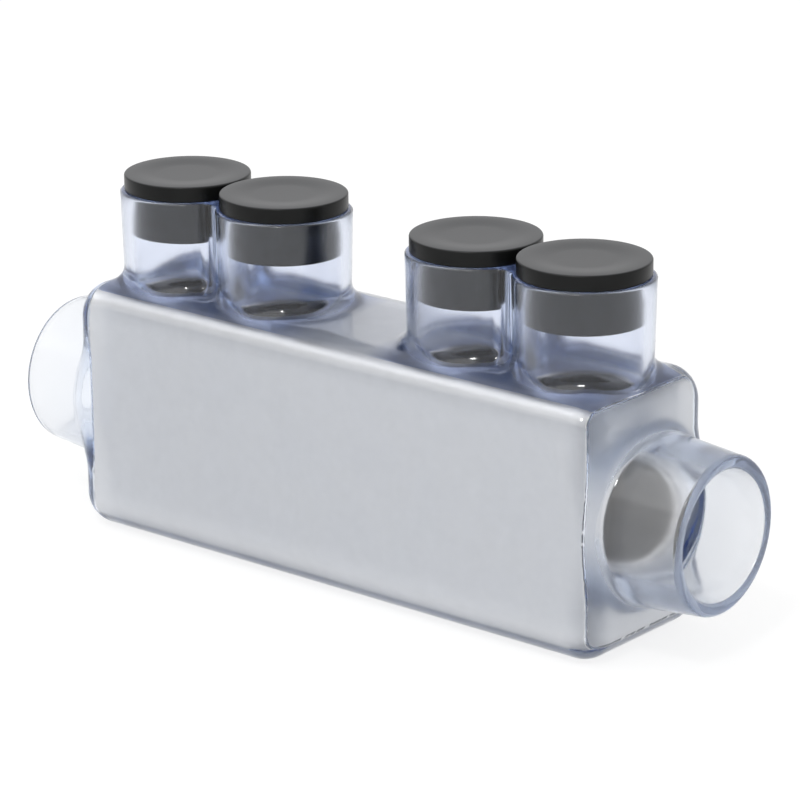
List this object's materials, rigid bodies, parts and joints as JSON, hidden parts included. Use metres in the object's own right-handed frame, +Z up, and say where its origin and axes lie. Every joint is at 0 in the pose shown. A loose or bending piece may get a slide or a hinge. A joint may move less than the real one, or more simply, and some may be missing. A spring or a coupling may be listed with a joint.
{
  "type": "insulated inline cable connector",
  "caption": "Inline set-screw cable connector: an aluminium block in a clear moulded jacket, with a cable port at each end and rubber-plugged chimneys over the screws.",
  "frame": {"origin": "middle of the jacket's flat underside, midway between the two port mouths", "axes": "+X along the cables, +Z up towards the access plugs"},
  "size_m": [0.1886, 0.0428, 0.0835],
  "materials": {
    "clear_vinyl": "clear flexible vinyl with a faint blue tint, glossy",
    "block_aluminium": "satin plated aluminium bar, faintly mottled",
    "screw_aluminium": "turned aluminium, dull dark grey",
    "plug_rubber": "matt black moulded rubber"
  },
  "bodies": {
    "housing": {"insulating_jacket": "clear_vinyl", "connector_block": "block_aluminium"},
    "screw_1": {"set_screw_1": "screw_aluminium"},
    "plug_1": {"access_plug_1": "plug_rubber"},
    "screw_2": {"set_screw_2": "screw_aluminium"},
    "plug_2": {"access_plug_2": "plug_rubber"},
    "screw_3": {"set_screw_3": "screw_aluminium"},
    "plug_3": {"access_plug_3": "plug_rubber"},
    "screw_4": {"set_screw_4": "screw_aluminium"},
    "plug_4": {"access_plug_4": "plug_rubber"}
  },
  "joints": [
    {"name": "screw_1_travel", "type": "slide", "parent": "housing", "child": "screw_1", "axis": [0, 0, 1], "range_m": [-0.012, 0.01]},
    {"name": "plug_1_lift", "type": "slide", "parent": "housing", "child": "plug_1", "axis": [0, 0, 1], "range_m": [0, 0.045]},
    {"name": "screw_2_travel", "type": "slide", "parent": "housing", "child": "screw_2", "axis": [0, 0, 1], "range_m": [-0.012, 0.01]},
    {"name": "plug_2_lift", "type": "slide", "parent": "housing", "child": "plug_2", "axis": [0, 0, 1], "range_m": [0, 0.045]},
    {"name": "screw_3_travel", "type": "slide", "parent": "housing", "child": "screw_3", "axis": [0, 0, 1], "range_m": [-0.012, 0.01]},
    {"name": "plug_3_lift", "type": "slide", "parent": "housing", "child": "plug_3", "axis": [0, 0, 1], "range_m": [0, 0.045]},
    {"name": "screw_4_travel", "type": "slide", "parent": "housing", "child": "screw_4", "axis": [0, 0, 1], "range_m": [-0.012, 0.01]},
    {"name": "plug_4_lift", "type": "slide", "parent": "housing", "child": "plug_4", "axis": [0, 0, 1], "range_m": [0, 0.045]}
  ]
}
